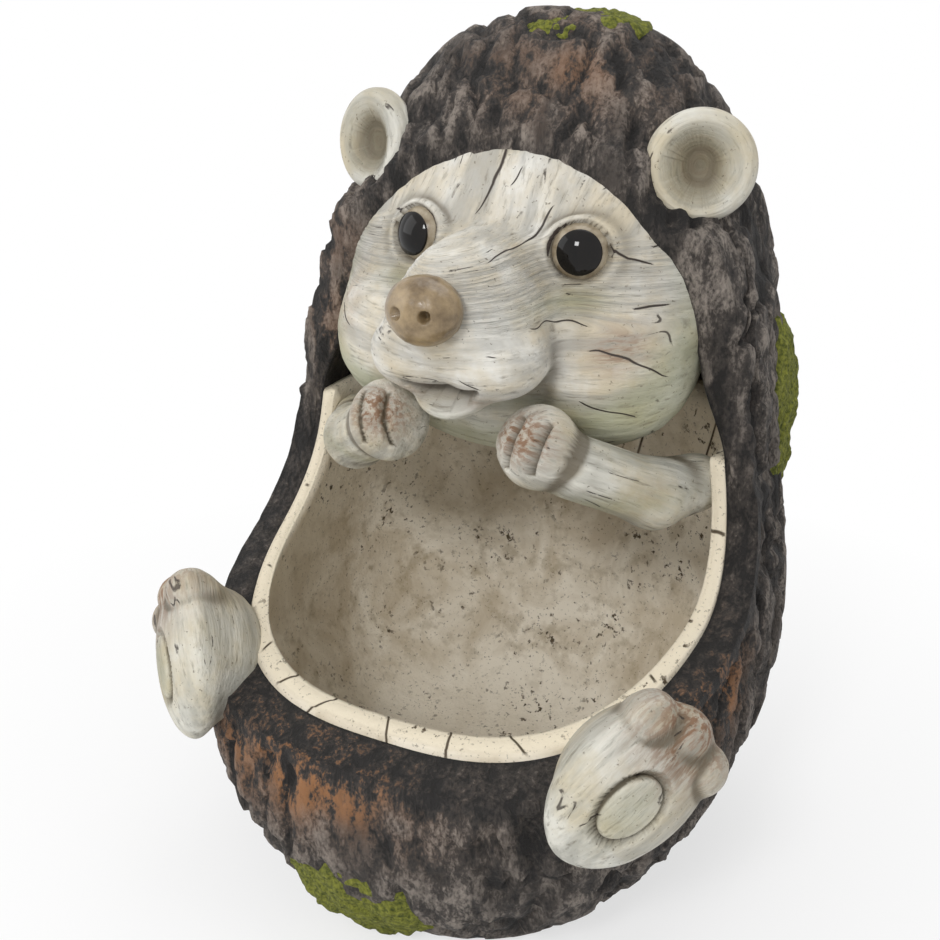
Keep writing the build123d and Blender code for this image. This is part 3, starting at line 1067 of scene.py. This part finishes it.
@dataclass
class Carving:
    """A carved piece on one grid of rays from a centre."""

    form: Form
    centre: tuple
    axis: tuple
    rings: int
    segments: int
    furthest: float
    grain_places: Form
    crowd: float = 1.0
    grain: float = 0.5
    spread: int = 4
    full_hollow: float = 1.6

    def rows(self) -> tuple[Array, Array]:
        """The grid on the form, raised and lowered by fine and coarse noise on its grain places.

        Returns:
            Places, and how deep each lies in a hollow, from 0 to 1.
        """
        rays = directions(self.axis, self.rings, self.segments, self.crowd)
        centre = np.array(self.centre, float)
        far = reach(self.form, centre, rays, self.furthest)
        hollow = np.clip(hollows(far, self.spread) / self.full_hollow, 0.0, 1.0)
        places = self.grain_places(centre + rays * far[..., None]) / MM
        far = far + self.grain * (layered(places, 5.5, 83, 2) + 0.8 * layered(places, 17.0, 89, 2))
        return centre + rays * far[..., None], hollow


@dataclass
class Head:
    """The head: cranium, cheeks, muzzle, lips, chin and bib, with eye openings, cracks and a smile.

    A mass is its middle, its radii and the rounding where it joins. The mouth and the lip are three radii,
    and how far they lie behind and below the smile. A crack is a width in mm and the places in front view,
    across and up, that it passes.
    """

    centre: tuple = (0, 62, 338)
    axis: tuple = (0, -1, 0.12)
    rings: int = 236
    segments: int = 404
    cranium: tuple = ((0, 76, 348), (118, 54, 94), -12.0)
    masses: tuple = (
        ((63, 50, 310), (47, 45, 46), 16.0), ((0, 2, 338), (44, 50, 34), 22.0),
        ((0, 8, 364), (24, 44, 18), 22.0), ((23, -12, 323), (27, 30, 22), 7.0),
        ((0, 47, 282), (76, 34, 33), 14.0),
    )
    smile: tuple = (0.0, -34.0, 302.5)
    smile_bend: float = 0.016
    mouth: tuple = ((23.0, 22.0, 5.0), 0.0, 0.0)
    lip: tuple = ((25.0, 21.0, 6.4), 19.0, 7.6)
    lid_radius: float = 18.0
    lid_size: float = 2.1
    socket_radius: float = 15.6
    cracks: tuple = (
        (0.8, ((-2, 432), (-5, 416), (-6, 404), (-12, 388))), (0.6, ((31, 396), (27, 386), (19, 374))),
        (0.5, ((34, 432), (29, 419))), (0.5, ((68, 418), (56, 404))), (0.5, ((98, 384), (84, 376))),
        (0.4, ((-33, 426), (-36, 412))), (0.4, ((8, 412), (4, 404))), (0.5, ((82, 347), (98, 348))),
        (0.35, ((42, 342), (62, 339))), (0.6, ((66, 328), (88, 324), (104, 314))),
        (0.6, ((62, 300), (76, 296), (90, 292))), (0.45, ((14, 318), (26, 314))),
        (0.5, ((-70, 384), (-60, 386))), (0.5, ((-97, 330), (-84, 320))),
        (0.6, ((65, 378), (74, 371), (86, 368))),
    )
    crack_back: float = 84.0
    blush_spots: tuple = ((0.9, (80, 20, 328), (15, 40, 12)), (0.5, (-92, 30, 330), (12, 40, 20)))
    lip_spots: tuple = ((0.5, (16, -30, 304), (12, 20, 5)),)
    green_spots: tuple = ((0.7, (52, 20, 350), (17, 40, 6)), (0.6, (30, 0, 290), (60, 60, 8)))
    mouth_shade_spots: tuple = ((0.95, (0, -30, 303), (19, 26, 4.6)),)

    def form(self, points: Array) -> Array:
        """The head's form: a rounded union of its masses, less the eye openings and the mouth.

        Args:
            points: places in mm.

        Returns:
            Distance in mm, negative inside.
        """
        p = two_sided(points)
        d = with_balls(p, ball(p, *self.cranium), self.masses)
        d = smooth_max(d, -self.along_smile(p, *self.mouth), 2.0)
        d = smooth_min(d, self.along_smile(p, *self.lip), 5.0)
        across, local = self.from_eye(p)
        d = smooth_min(d, np.hypot(across - self.lid_radius, local[..., 2] - 9.0) - self.lid_size, 7.0)
        socket = np.hypot(across / self.socket_radius, (local[..., 2] - 14.0) / 16.0) - 1.0
        return smooth_max(d, -socket * self.socket_radius, 1.6)

    def along_smile(self, points: Array, radii: tuple, back: float, down: float) -> Array:
        """Near-distance to an ellipsoid bent up at its sides by the square of the way across.

        Args:
            points: places in mm, X positive.
            radii: its radii in mm.
            back: how far it lies behind the smile.
            down: how far it lies below the smile.

        Returns:
            Distance in mm, negative inside.
        """
        x, y, z = np.moveaxis(points - np.array(self.smile), -1, 0)
        level = z - self.smile_bend * x**2
        flat = np.hypot(x / radii[0], (y - back) / radii[1])
        return (np.hypot(flat, (level + down) / radii[2]) - 1.0) * radii[2]

    def from_eye(self, points: Array) -> tuple[Array, Array]:
        """Distance from the eye's axis, a little flattened, and places in the eye's own axes."""
        local = (points - np.array(EYE_CENTRE)) @ frame_axes(EYE_TURN, EYE_RAISE).T
        return np.hypot(local[..., 0], local[..., 1] * 1.06), local

    def crack_lines(self, points: Array) -> tuple[Array, Array]:
        """Signed distance to the nearest crack over its width, and how near it and its middle a place is.

        The distance has a sign so that it passes nought between vertices, which keeps the line thin. A crack
        is widest at its middle, by the root of 4t(1 - t) along it.

        Args:
            points: places in mm.

        Returns:
            The two values.
        """
        flat = points[..., [0, 2]] + 1.6 * np.stack([noise(points, 9.0, 5), noise(points, 9.0, 6)], axis=-1)
        nearest = np.full(flat.shape[:-1], 1e3)
        off, near = np.zeros(nearest.shape), np.zeros(nearest.shape)
        for width, line in self.cracks:
            for step, (start, end) in enumerate(zip(line, line[1:])):
                a, b = np.array(start, float), np.array(end, float)
                share = np.clip(((flat - a) @ (b - a)) / ((b - a) @ (b - a)), 0.0, 1.0)
                away = flat - (a + share[..., None] * (b - a))
                apart = np.linalg.norm(away, axis=-1)
                along = (step + share) / (len(line) - 1)
                taper = np.sqrt(np.clip(4.0 * along * (1.0 - along), 0.0, 1.0))
                closer = apart < nearest
                side = np.sign((b - a)[0] * away[..., 1] - (b - a)[1] * away[..., 0])
                off = np.where(closer, side * apart / (width * taper + 0.15), off)
                fade = np.clip(1.6 - apart / 2.5, 0.0, 1.0) * np.clip(4.0 * taper, 0.0, 1.0)
                near = np.where(closer, fade, near)
                nearest = np.minimum(nearest, apart)
        return off, near * (points[..., 1] < self.crack_back)

    def grain_places(self, points: Array) -> Array:
        """Places drawn out along the grain: upright on the forehead, level on the cheeks, bent at the eyes.

        Args:
            points: places in mm.

        Returns:
            Places in metres.
        """
        upright = ease((points[..., 2] - 336.0) / 48.0)
        across, _ = self.from_eye(two_sided(points))
        bend = 16.0 * np.exp(-((across / 30.0) ** 2))
        x, z = points[..., 0] + 0.10 * points[..., 2], points[..., 2] - 0.12 * np.abs(points[..., 0])
        over = x * upright + z * (1.0 - upright) + bend
        along = z * upright + x * (1.0 - upright)
        return np.stack([over, points[..., 1] * 0.35, along * GRAIN_SHARE], axis=-1) * MM

    def build(self, material: bpy.types.Material) -> None:
        """Make the head."""
        carving = Carving(
            self.form, self.centre, self.axis, self.rings, self.segments, 175.0, self.grain_places, 1.25, 0.6
        )
        rows, hollow = carving.rows()
        off, near = self.crack_lines(rows)
        p = two_sided(rows)
        across, local = self.from_eye(p)
        # Painted shade: darker in the hollows, in the crease round each eye (heavier under the upper lid),
        # inside the eye openings and in the mouth.
        front = rows[..., 1] < 60.0
        upper = 0.5 + 0.5 * ease((local[..., 1] + 6.0) / 12.0)
        outline = np.exp(-(((across - 16.9) / 1.5) ** 2)) * upper * front
        inside = ease((17.0 - across) / 1.5) * 0.75 * front
        painted_shade = np.maximum.reduce([hollow * 0.8, outline, inside, spots(p, self.mouth_shade_spots)])
        edge = np.hypot(rows[..., 0] / 112.0, (rows[..., 2] - 350.0) / 84.0)
        green = ease((edge - 0.80) / 0.22) * 0.8 + spots(p, self.green_spots)
        # The crease round each eye is also drawn as a dark crack line, a painted shade.
        line = ease((outline - 0.12) / 0.5)
        marks = {
            "painted_shade": np.clip(painted_shade, 0.0, 1.0), "off": off * (1.0 - line), "near": np.maximum(near, line),
            "blush": spots(rows, self.blush_spots) + spots(p, self.lip_spots),
            "green": np.clip(green, 0.0, 1.0), "grain": self.grain_places(rows),
        }
        settle(closed_mesh("face", rows, marks), material, "head")


@dataclass
class SidePieces:
    """The pieces that come in pairs: eyes, ears, arms and feet. X is mirrored for the right side."""

    side: int
    eye_segments: int = 72
    eyeball: float = 18.0
    pupil: float = 19.0
    pupil_edge: float = 12.2
    ear_centre: tuple = (100.0, 72.0, 417.0)
    ear_disc: float = 22.5
    ear_edge: float = 7.3
    ear_stem: float = 16.0
    ear_dish: tuple = (-2.0, -2.0, 20.0)
    shoulder: tuple = (112.0, 62.0, 241.0)
    elbow: tuple = (97.0, 34.0, 242.0)
    wrist: tuple = (63.1, 0.0, 264.1)
    paw: tuple = (46.7, -9.5, 275.6)
    paw_radii: tuple = (23.0, 22.0, 23.5)
    foot_centre: tuple = (136.9, -91.3, 140.8)
    foot_lean: float = 40.0
    sole: tuple = (50, 35, 18)
    heel: tuple = ((2.0, 0.0, -18.0), (38.0, 29.0, 26.0), 16.0)
    toe_radii: tuple = (14.4, 12.4, 15.0)

    def label(self, part: str) -> str:
        """A piece's node name on this side."""
        return ("left_" if self.side > 0 else "right_") + part

    def put(
        self, part: str, rows: Array, marks: dict[str, Array], material: bpy.types.Material
    ) -> None:
        """Mirror the places if need be, and make the piece."""
        rows = rows * np.array([float(self.side), 1.0, 1.0])
        settle(closed_mesh(self.label(part) + "_carved", rows, marks), material, self.label(part))

    def carve(
        self, part: str, carving: Carving, rust: Form, green: Form, material: bpy.types.Material,
        dark: Form | None = None,
    ) -> None:
        """Make a carved piece, with rust and green where two forms say.

        Args:
            part: the piece's name without its side.
            carving: its grid.
            rust: how rusty each place is, from 0 to 1.
            green: how green each place is, from 0 to 1.
            material: its material.
            dark: how much painted shade each place gets besides the painted shade in its hollows, or None.
        """
        rows, hollow = carving.rows()
        stain = np.zeros(hollow.shape) if dark is None else dark(rows)
        # Painted shade: darker in the hollows, and where dark says.
        marks = {
            "painted_shade": np.maximum(hollow * 0.85, stain), "blush": np.clip(rust(rows), 0.0, 1.0),
            "green": np.clip(green(rows), 0.0, 1.0), "grain": carving.grain_places(rows) + 0.3 * self.side,
        }
        self.put(part, rows, marks, material)

    def eye(self) -> None:
        """Make the eyeball, a half ball with a flat back, and its dark cap, a thin lens in front of it."""
        count = self.eye_segments
        angles = 2.0 * math.pi * np.arange(count) / count

        def turned(radius: float, tilt: Array, radii: list, depths: list) -> Array:
            """A profile turned about the eye's axis: radius times cosine and sine across, depth along.

            Args:
                radius: radius of the arc that it starts with.
                tilt: angles along the arc.
                radii: the radii after the arc.
                depths: their depths.

            Returns:
                Places in mm, a row for each radius.
            """
            across = np.concatenate([radius * np.sin(tilt), radii])[:, None]
            along = np.repeat(np.concatenate([radius * np.cos(tilt), depths])[:, None], count, 1)
            local = np.stack([across * np.cos(angles), across * np.sin(angles), along], -1)
            return np.array(EYE_CENTRE) + local @ frame_axes(EYE_TURN, EYE_RAISE)

        rows = turned(self.eyeball, np.linspace(0.03, math.pi / 2, 26), [17.0, 9.0, 0.6], [0.0, 0.0, 0.0])
        self.put("eyeball", rows, {}, EYE_FINISH.make())
        cap = np.linspace(0.03, math.asin(self.pupil_edge / self.pupil), 20)
        rows = turned(self.pupil, cap, [12.3, 11.9, 6.0, 0.5], [14.1, 13.6, 17.0, 18.0])
        self.put("pupil", rows, {}, PUPIL_FINISH.make())

    def ear(self, material: bpy.types.Material) -> None:
        """Make the ear: a rounded disc with a dish in front, on a stem."""
        centre, axes = np.array(self.ear_centre), frame_axes(20.0, 8.0)

        def form(points: Array) -> Array:
            """The ear's form: a rounded disc joined with a stem, less a round dish.

            Args:
                points: places in mm.

            Returns:
                Distance in mm, negative inside.
            """
            local = (points - centre) @ axes.T
            across = np.hypot(local[..., 0], local[..., 1])
            thick = np.maximum(np.abs(local[..., 2]) - 1.0, 0.0)
            disc = np.hypot(np.maximum(across - self.ear_disc, 0.0), thick) - self.ear_edge
            stem = np.maximum(across - self.ear_stem, np.abs(local[..., 2] + 12.0) - 12.0)
            dish = np.linalg.norm((local - np.array(self.ear_dish)) / np.array([0.82, 1.0, 1.0]), axis=-1)
            return smooth_max(smooth_min(disc, stem, 4.0), -(dish - self.ear_disc), 5.0)

        def grain_places(points: Array) -> Array:
            """Places by the distance from the ear's axis, drawn out along its height.

            Args:
                points: places in mm.

            Returns:
                Places in metres.
            """
            local = (points - centre) @ axes.T
            across = np.hypot(local[..., 0], local[..., 1])
            return np.stack([across, local[..., 2], local[..., 1] * 0.2], axis=-1) * MM

        dish = tuple(centre - axes[0] * 2.0 - axes[2] * 2.0)
        carving = Carving(form, tuple(centre - axes[2] * 7.0), tuple(axes[1]), 120, 160, 60.0, grain_places)
        # The last form is painted shade in the ear's dish.
        self.carve(
            "ear", carving, lambda points: 0.6 * bell(points, dish, (17, 12, 19)),
            lambda points: 0.15 + 0.9 * bell(points, dish, (16, 11, 18)), material,
            lambda points: 0.85 * bell(points, dish, (15, 12, 17)),
        )

    def arm(self, material: bpy.types.Material) -> None:
        """Make the arm: two tapered rods to a paw with grooves between its fingers."""
        shoulder, elbow, wrist, paw = map(np.array, (self.shoulder, self.elbow, self.wrist, self.paw))

        def form(points: Array) -> Array:
            """The arm's form: rods joined with the paw, less two slanting grooves.

            Args:
                points: places in mm.

            Returns:
                Distance in mm, negative inside.
            """
            fore, upper = rod(points, elbow, wrist, 18.5, 18.0), rod(points, shoulder, elbow, 17.0, 18.5)
            d = with_balls(points, smooth_min(fore, upper, 8.0), ((self.paw, self.paw_radii, 6.0),))
            local = points - paw
            for aside in (-9.0, 6.5):
                groove = np.abs(local[..., 0] - aside - 0.22 * local[..., 2]) - 1.5
                limits = np.maximum(local[..., 1] + 8.0, -8.0 - local[..., 2])
                d = smooth_max(d, -np.maximum(groove, limits), 3.0)
            return d

        rust = ((1.2, (44, -28, 288), (24, 16, 16)), (0.3, (100, 20, 250), (16, 20, 8)))
        carving = Carving(
            form, (76, 8, 256), tuple(paw - elbow), 150, 170, 95.0,
            lambda points: drawn_out(points, wrist - elbow),
        )
        self.carve(
            "arm", carving, lambda points: spots(points, rust),
            lambda points: 0.2 + 0.7 * bell(points, (70, 16, 246), (44, 30, 8)), material,
        )

    def foot(self, material: bpy.types.Material) -> None:
        """Make the foot: a flattened sole with three toes and a heel, and a groove round its oval pad."""
        centre, axes = np.array(self.foot_centre), frame_axes(40.0, 10.0)
        lean = math.radians(self.foot_lean)
        cosine, sine = math.cos(lean), math.sin(lean)
        toes = np.array([[cosine, sine, 0.0], [-sine, cosine, 0.0], [0.0, 0.0, 1.0]])
        offsets = (-1.0, 0.0, 1.0)
        masses = tuple(((36.2 * math.cos(o * 0.58), o * 20.8, 1.0), self.toe_radii, 2.5) for o in offsets)

        def seen(points: Array) -> tuple[Array, Array]:
            """Places along the toes, across them and out of the sole, and their size in the pad's oval."""
            local = (points - centre) @ axes.T @ toes.T
            return local, np.hypot((local[..., 0] + 7.0) / 21.0, local[..., 1] / 14.0)

        def form(points: Array) -> Array:
            """The foot's form: sole, toes and heel, less a groove round the pad.

            Args:
                points: places in mm.

            Returns:
                Distance in mm, negative inside.
            """
            local, oval = seen(points)
            d = with_balls(local, ball(local, (0, 0, 0), self.sole), (*masses, self.heel))
            groove = np.maximum(np.abs(oval - 1.0) * 17.0 - 1.7, 10.0 - local[..., 2])
            return smooth_max(d, -groove, 2.2)

        def pad(points: Array) -> Array:
            """Green on the oval pad."""
            local, oval = seen(points)
            return 0.2 + 0.4 * np.exp(-(oval**4)) * (local[..., 2] > 4.0)

        knuckles = tuple(centre + np.array([38.0, 4.0, 6.0]) @ toes @ axes)
        long_way = ACROSS @ toes @ axes
        carving = Carving(
            form, tuple(centre - axes[2] * 6.0), tuple(axes[2]), 160, 180, 85.0,
            lambda points: drawn_out(points, long_way),
        )
        self.carve("foot", carving, lambda points: 1.3 * bell(points, knuckles, (28, 28, 28)), pad, material)

    def build(self, material: bpy.types.Material) -> None:
        """Make the side's pieces."""
        self.eye()
        self.ear(material)
        self.arm(material)
        self.foot(material)


@dataclass
class Nose:
    """The nose: a rounded button with two nostrils."""

    centre: tuple = (0.0, -50.0, 355.1)
    radii: tuple = (20.8, 16.8, 18.2)
    nostril: float = 3.1

    def form(self, points: Array) -> Array:
        """The nose's form: an ellipsoid less two round holes.

        Args:
            points: places in mm.

        Returns:
            Distance in mm, negative inside.
        """
        p = two_sided(points) - np.array(self.centre)
        nostril = np.hypot(p[..., 0] - 8.0, p[..., 2] - 1.0) - self.nostril
        return smooth_max(ball(points, self.centre, self.radii), -np.maximum(nostril, p[..., 1] + 7.0), 1.2)

    def build(self) -> None:
        """Make the nose."""
        carving = Carving(self.form, (0.0, -46.0, 355.1), (0, -0.2, 1), 130, 200, 34.0, lambda p: p * MM)
        settle(closed_mesh("nose_button", carving.rows()[0], {}), NOSE_FINISH.make(), "nose")


@dataclass
class Moss:
    """A mound of moss with a ragged outline and a tufted top."""

    node: str
    centre: tuple
    radii: tuple
    turn: float
    inset: float = 3.2
    margin: float = 12.0
    rings: int = 150
    segments: int = 170

    def form(self, points: Array) -> Array:
        """Distance to the mound: an ellipsoid's, raised and lowered by fine and coarse noise."""
        tufts = 1.2 * noise(points, 3.2, 91) + 4.0 * layered(points, 17.0, 97, 3)
        return ball(points, self.centre, tuple(r - self.inset for r in self.radii), self.turn) - tufts

    def build(self, material: bpy.types.Material) -> None:
        """Make the mound, cut flat just over the ground."""
        rays = directions((0, -1, 0.3), self.rings, self.segments)
        centre = np.array(self.centre)
        rows = centre + rays * reach(self.form, centre, rays, max(self.radii) + self.margin)[..., None]
        rows[..., 2] = np.maximum(rows[..., 2], 1.0)
        settle(closed_mesh(self.node + "_tufts", rows, {}), material, self.node)


@dataclass
class Studio:
    """The camera, the soft light and the pale floor."""

    target: tuple = (0.0, 0.0, 250.0)
    azimuth: float = 27.5
    elevation: float = 22.5
    away: float = 738.0
    lens: float = 50.0
    lamp_aim: tuple = (0, 0, 0.25)
    sky_strength: float = 0.55
    floor_half: float = 6.0
    floor_colour: tuple = (0.86, 0.86, 0.86, 1.0)
    floor_roughness: float = 0.9

    def stand(self, data: bpy.types.ID, place: Vector, aim: Vector) -> bpy.types.Object:
        """Put a camera or a lamp up.

        Args:
            data: its data.
            place: where it stands, in metres.
            aim: the direction that it looks in.

        Returns:
            The camera or lamp.
        """
        thing = bpy.data.objects.new(data.name, data)
        thing.location = place
        thing.rotation_mode = "QUATERNION"
        thing.rotation_quaternion = aim.to_track_quat("-Z", "Y")
        bpy.context.scene.collection.objects.link(thing)
        return thing

    def camera(self) -> None:
        """Place the camera by its angles and distance from the target."""
        a, e = math.radians(self.azimuth), math.radians(self.elevation)
        back = Vector((math.sin(a) * math.cos(e), -math.cos(a) * math.cos(e), math.sin(e)))
        data = bpy.data.cameras.new("camera")
        data.lens, data.sensor_width, data.clip_start = self.lens, 36.0, 0.01
        target = Vector((self.target[0] * MM, self.target[1] * MM - SHIFT, self.target[2] * MM))
        bpy.context.scene.camera = self.stand(data, target + back * self.away * MM, -back)

    def lamp(self, name: str, place: tuple, size: float, power: float) -> None:
        """Put up a square soft lamp that looks at the planter's middle.

        Args:
            name: its name.
            place: where it stands, in metres.
            size: its side in metres.
            power: its power in watts.
        """
        data = bpy.data.lights.new(name, "AREA")
        data.size, data.energy = size, power
        self.stand(data, Vector(place), Vector(self.lamp_aim) - Vector(place))

    def white_to_camera(self, nodes: Nodes) -> Socket:
        """One for camera, glossy and transmission rays, otherwise nought.

        Args:
            nodes: the tree that it is for.

        Returns:
            The value.
        """
        rays = nodes.node("LightPath", {}).outputs
        seen = nodes.combine("MAXIMUM", rays["Is Camera Ray"], rays["Is Glossy Ray"])
        return nodes.combine("MAXIMUM", seen, rays["Is Transmission Ray"])

    def sky(self) -> None:
        """A white surround that lights softly."""
        world = bpy.data.worlds.new("studio")
        bpy.context.scene.world = world
        world.use_nodes = True
        nodes = Nodes(world.node_tree)
        light = nodes.tree.nodes["Background"]
        light.inputs["Color"].default_value = WHITE
        light.inputs["Strength"].default_value = self.sky_strength
        white = nodes.node("Background", {"Color": WHITE})
        nodes.show(self.white_to_camera(nodes), light, white, "World Output")

    def floor(self) -> None:
        """A pale floor that keeps a faint shadow, and turns white with the distance from the object."""
        mesh, half = bpy.data.meshes.new("floor"), self.floor_half
        corners = [(-half, -half, 0), (half, -half, 0), (half, half, 0), (-half, half, 0)]
        mesh.from_pydata(corners, [], [(0, 1, 2, 3)])
        floor = bpy.data.objects.new("floor", mesh)
        bpy.context.scene.collection.objects.link(floor)
        shade = Shade("floor")
        shade.shader.inputs["Base Color"].default_value = self.floor_colour
        shade.shader.inputs["Roughness"].default_value = self.floor_roughness
        away = shade.node("VectorMath", {0: shade.node("TexCoord", {}).outputs["Object"]})
        away.operation = "LENGTH"
        spread = {"From Min": 0.16, "From Max": 0.55, "To Min": 0.66, "To Max": 1.0}
        whiter = shade.node("MapRange", {"Value": away.outputs["Value"], **spread}).outputs["Result"]
        share = shade.times(self.white_to_camera(shade), whiter)
        shade.show(share, shade.shader, shade.node("Emission", {}), "Material Output")
        mesh.materials.append(shade.material)

    def build(self) -> None:
        """Set the studio up."""
        self.camera()
        self.lamp("key", (0.15, -1.65, 1.45), 0.42, 17.0)
        self.lamp("fill", (-1.5, -0.8, 1.0), 1.4, 8.0)
        self.lamp("top", (0.1, 0.5, 1.9), 1.2, 8.0)
        self.sky()
        self.floor()
        bpy.context.scene.view_settings.view_transform = "Standard"


def main() -> None:
    """Build the studio and every piece."""
    logging.basicConfig(level=logging.INFO, format="%(message)s")
    Studio().build()
    BarkShell().build()
    BellyBowl().build()
    carved = CarvedFinish().make()
    Head().build(carved)
    for side in (1, -1):
        SidePieces(side).build(carved)
    Nose().build()
    moss = MOSS_FINISH.make()
    Moss("crown_moss", (10.0, 116.0, 478.5), (46, 32, 15), 4.0).build(moss)
    Moss("side_moss", (133.0, 121.7, 266.0), (20, 34, 66), 0.0).build(moss)
    Moss("front_moss", (-8.0, -108.0, 42.0), (56, 22, 42), 12.0).build(moss)
    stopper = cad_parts["drain_plug"]
    stopper.data.materials.clear()
    stopper.data.materials.append(STOPPER_FINISH.make())
    LOG.info("%s: carried over", stopper.name)


if __name__ == "__main__":
    main()
